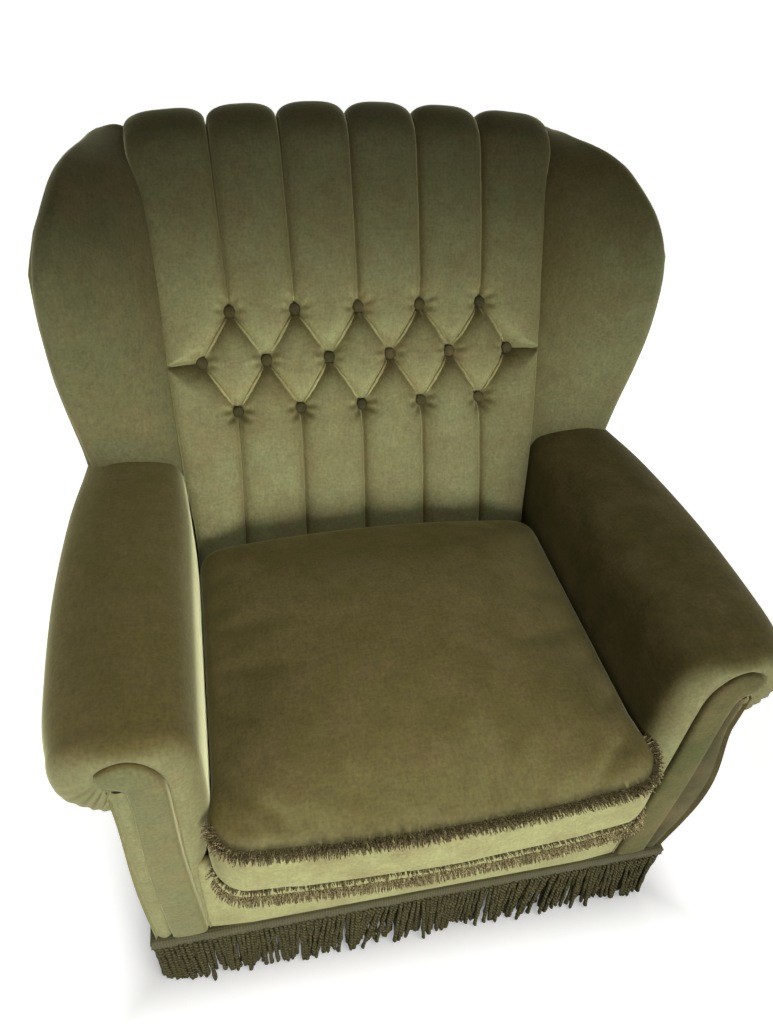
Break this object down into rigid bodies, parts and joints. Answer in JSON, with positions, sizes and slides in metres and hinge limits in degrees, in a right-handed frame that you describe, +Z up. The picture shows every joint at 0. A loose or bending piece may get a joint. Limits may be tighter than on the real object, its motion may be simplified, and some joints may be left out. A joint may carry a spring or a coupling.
{
  "type": "wing armchair",
  "caption": "Upholstered wing armchair with a fluted and buttoned back, rolled arms with scroll facings, a loose lift-out seat cushion and a bullion fringe down to the floor.",
  "frame": {"origin": "on the floor, under the middle of the whole chair's box", "axes": "+Z up, the chair faces -Y, +X to the right of someone looking at its front"},
  "size_m": [0.8576, 0.8498, 0.9442],
  "materials": {
    "mohair": "olive green mohair velvet, pile light where it stands up and dark where it lies",
    "brush_fringe": "cut brush fringe, brownish olive",
    "bullion": "twisted bullion cords under a woven heading, dark olive",
    "beech": "raw beech, hidden",
    "dark_wood": "dark stained turned beech",
    "glide_plastic": "brown nail-on glide",
    "steel": "plain steel wire and screws, hidden",
    "jute": "plain jute webbing and hessian, hidden",
    "dust_cloth": "black dust cover",
    "stuffing": "feather and foam core, hidden",
    "deck_cloth": "olive platform cloth under the cushion"
  },
  "bodies": {
    "chair": {"arm_facing_left": "mohair", "arm_facing_right": "mohair", "arm_rail_left": "beech", "arm_rail_right": "beech", "back_buttons": "mohair", "back_cross_rail": "beech", "back_seat_rail": "beech", "back_stile_left": "beech", "back_stile_right": "beech", "back_webbing": "jute", "corner_block_screws": "steel", "corner_blocks": "beech", "dust_cover": "dust_cloth", "foot_front_left": "dark_wood", "foot_front_right": "dark_wood", "foot_glides": "glide_plastic", "foot_rear_left": "dark_wood", "foot_rear_right": "dark_wood", "fringe_back": "bullion", "fringe_front": "bullion", "fringe_left": "bullion", "fringe_right": "bullion", "front_apron": "mohair", "front_arm_post_left": "beech", "front_arm_post_right": "beech", "front_seat_rail": "beech", "inside_arm_left": "mohair", "inside_arm_right": "mohair", "inside_back": "mohair", "outside_arm_left": "mohair", "outside_arm_right": "mohair", "outside_back": "mohair", "outside_wing_left": "mohair", "outside_wing_right": "mohair", "rear_post_left": "beech", "rear_post_right": "beech", "seat_deck": "deck_cloth", "seat_springs": "steel", "seat_webbing_crosswise": "jute", "seat_webbing_lengthwise": "jute", "side_seat_rail_left": "beech", "side_seat_rail_right": "beech", "spring_hessian": "jute", "top_back_rail": "beech", "wing_frame_left": "beech", "wing_frame_right": "beech", "wing_pad_left": "mohair", "wing_pad_right": "mohair"},
    "seat_cushion": {"seat_cushion_cover": "mohair", "seat_cushion_core": "stuffing", "cushion_fringe_top": "brush_fringe", "cushion_fringe_bottom": "brush_fringe"}
  },
  "joints": [
    {"name": "cushion_lift", "type": "slide", "parent": "chair", "child": "seat_cushion", "axis": [0, 0, 1], "range_m": [0, 0.28]}
  ]
}
